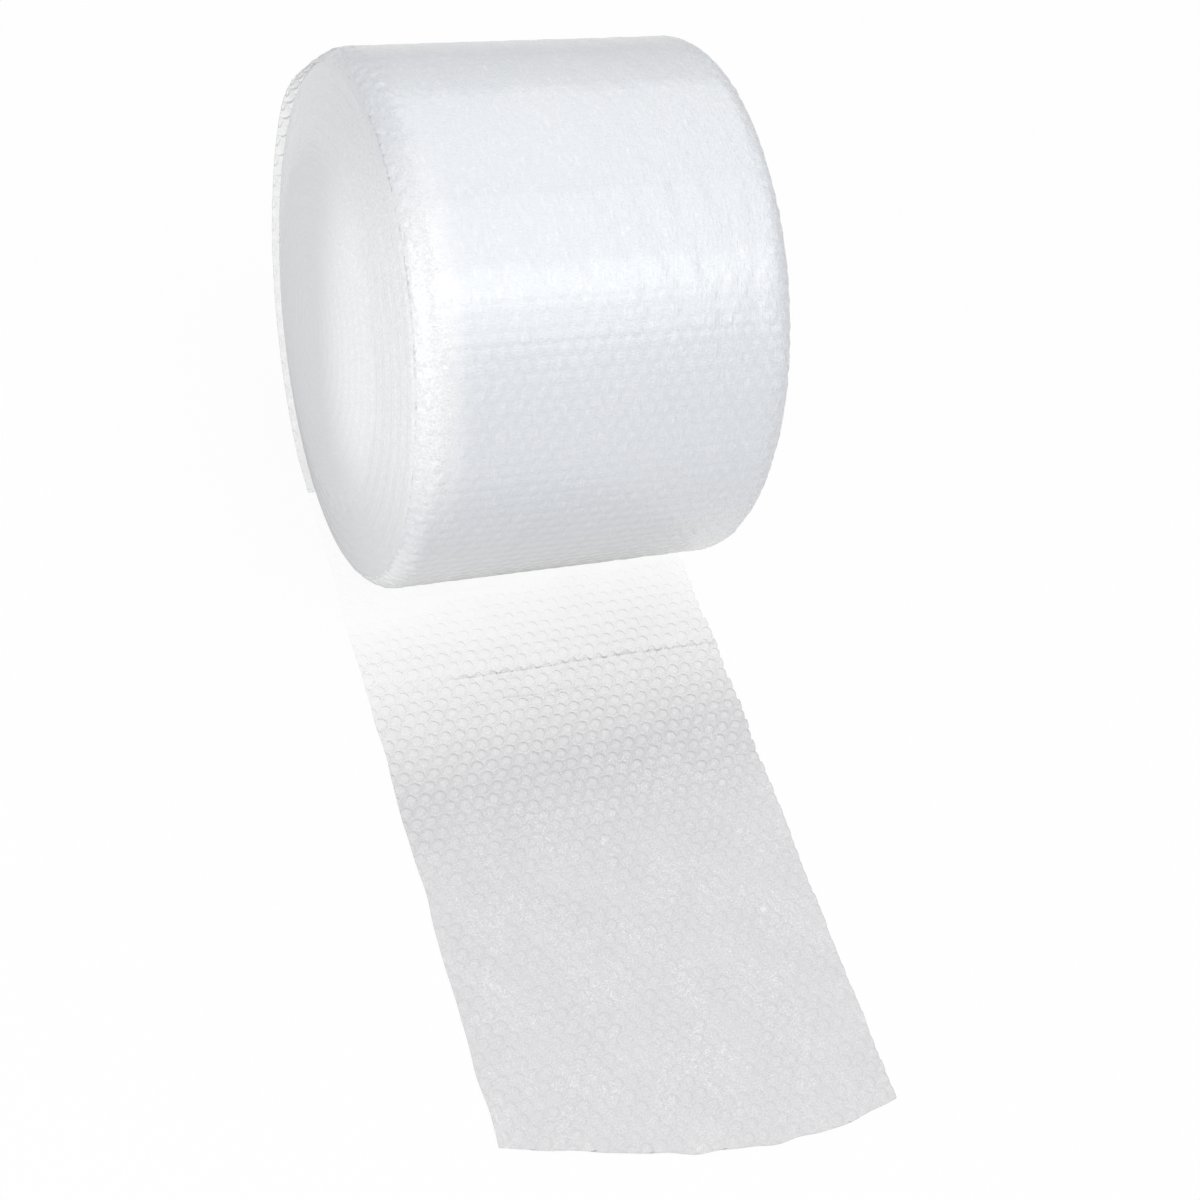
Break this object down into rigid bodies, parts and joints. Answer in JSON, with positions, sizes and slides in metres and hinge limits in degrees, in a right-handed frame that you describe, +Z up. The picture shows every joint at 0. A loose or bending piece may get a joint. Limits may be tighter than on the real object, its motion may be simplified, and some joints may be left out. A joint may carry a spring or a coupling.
{
  "type": "bubble wrap roll",
  "caption": "Coreless roll of clear bubble cushioning film lying on its side, with its loose outer turn and its free end pulled out flat along the floor.",
  "frame": {"origin": "on the floor under the roll's axis, midway across the web, in the middle of the flat spot", "axes": "+X along the roll's axis, -Y the way the free end lies pulled out, +Z up"},
  "size_m": [0.3203, 0.8337, 0.4095],
  "materials": {
    "film": "clear glossy polyethylene film that looks frosty white where many turns lie together"
  },
  "bodies": {
    "root": {"bubble_wrap": "film"}
  },
  "joints": []
}
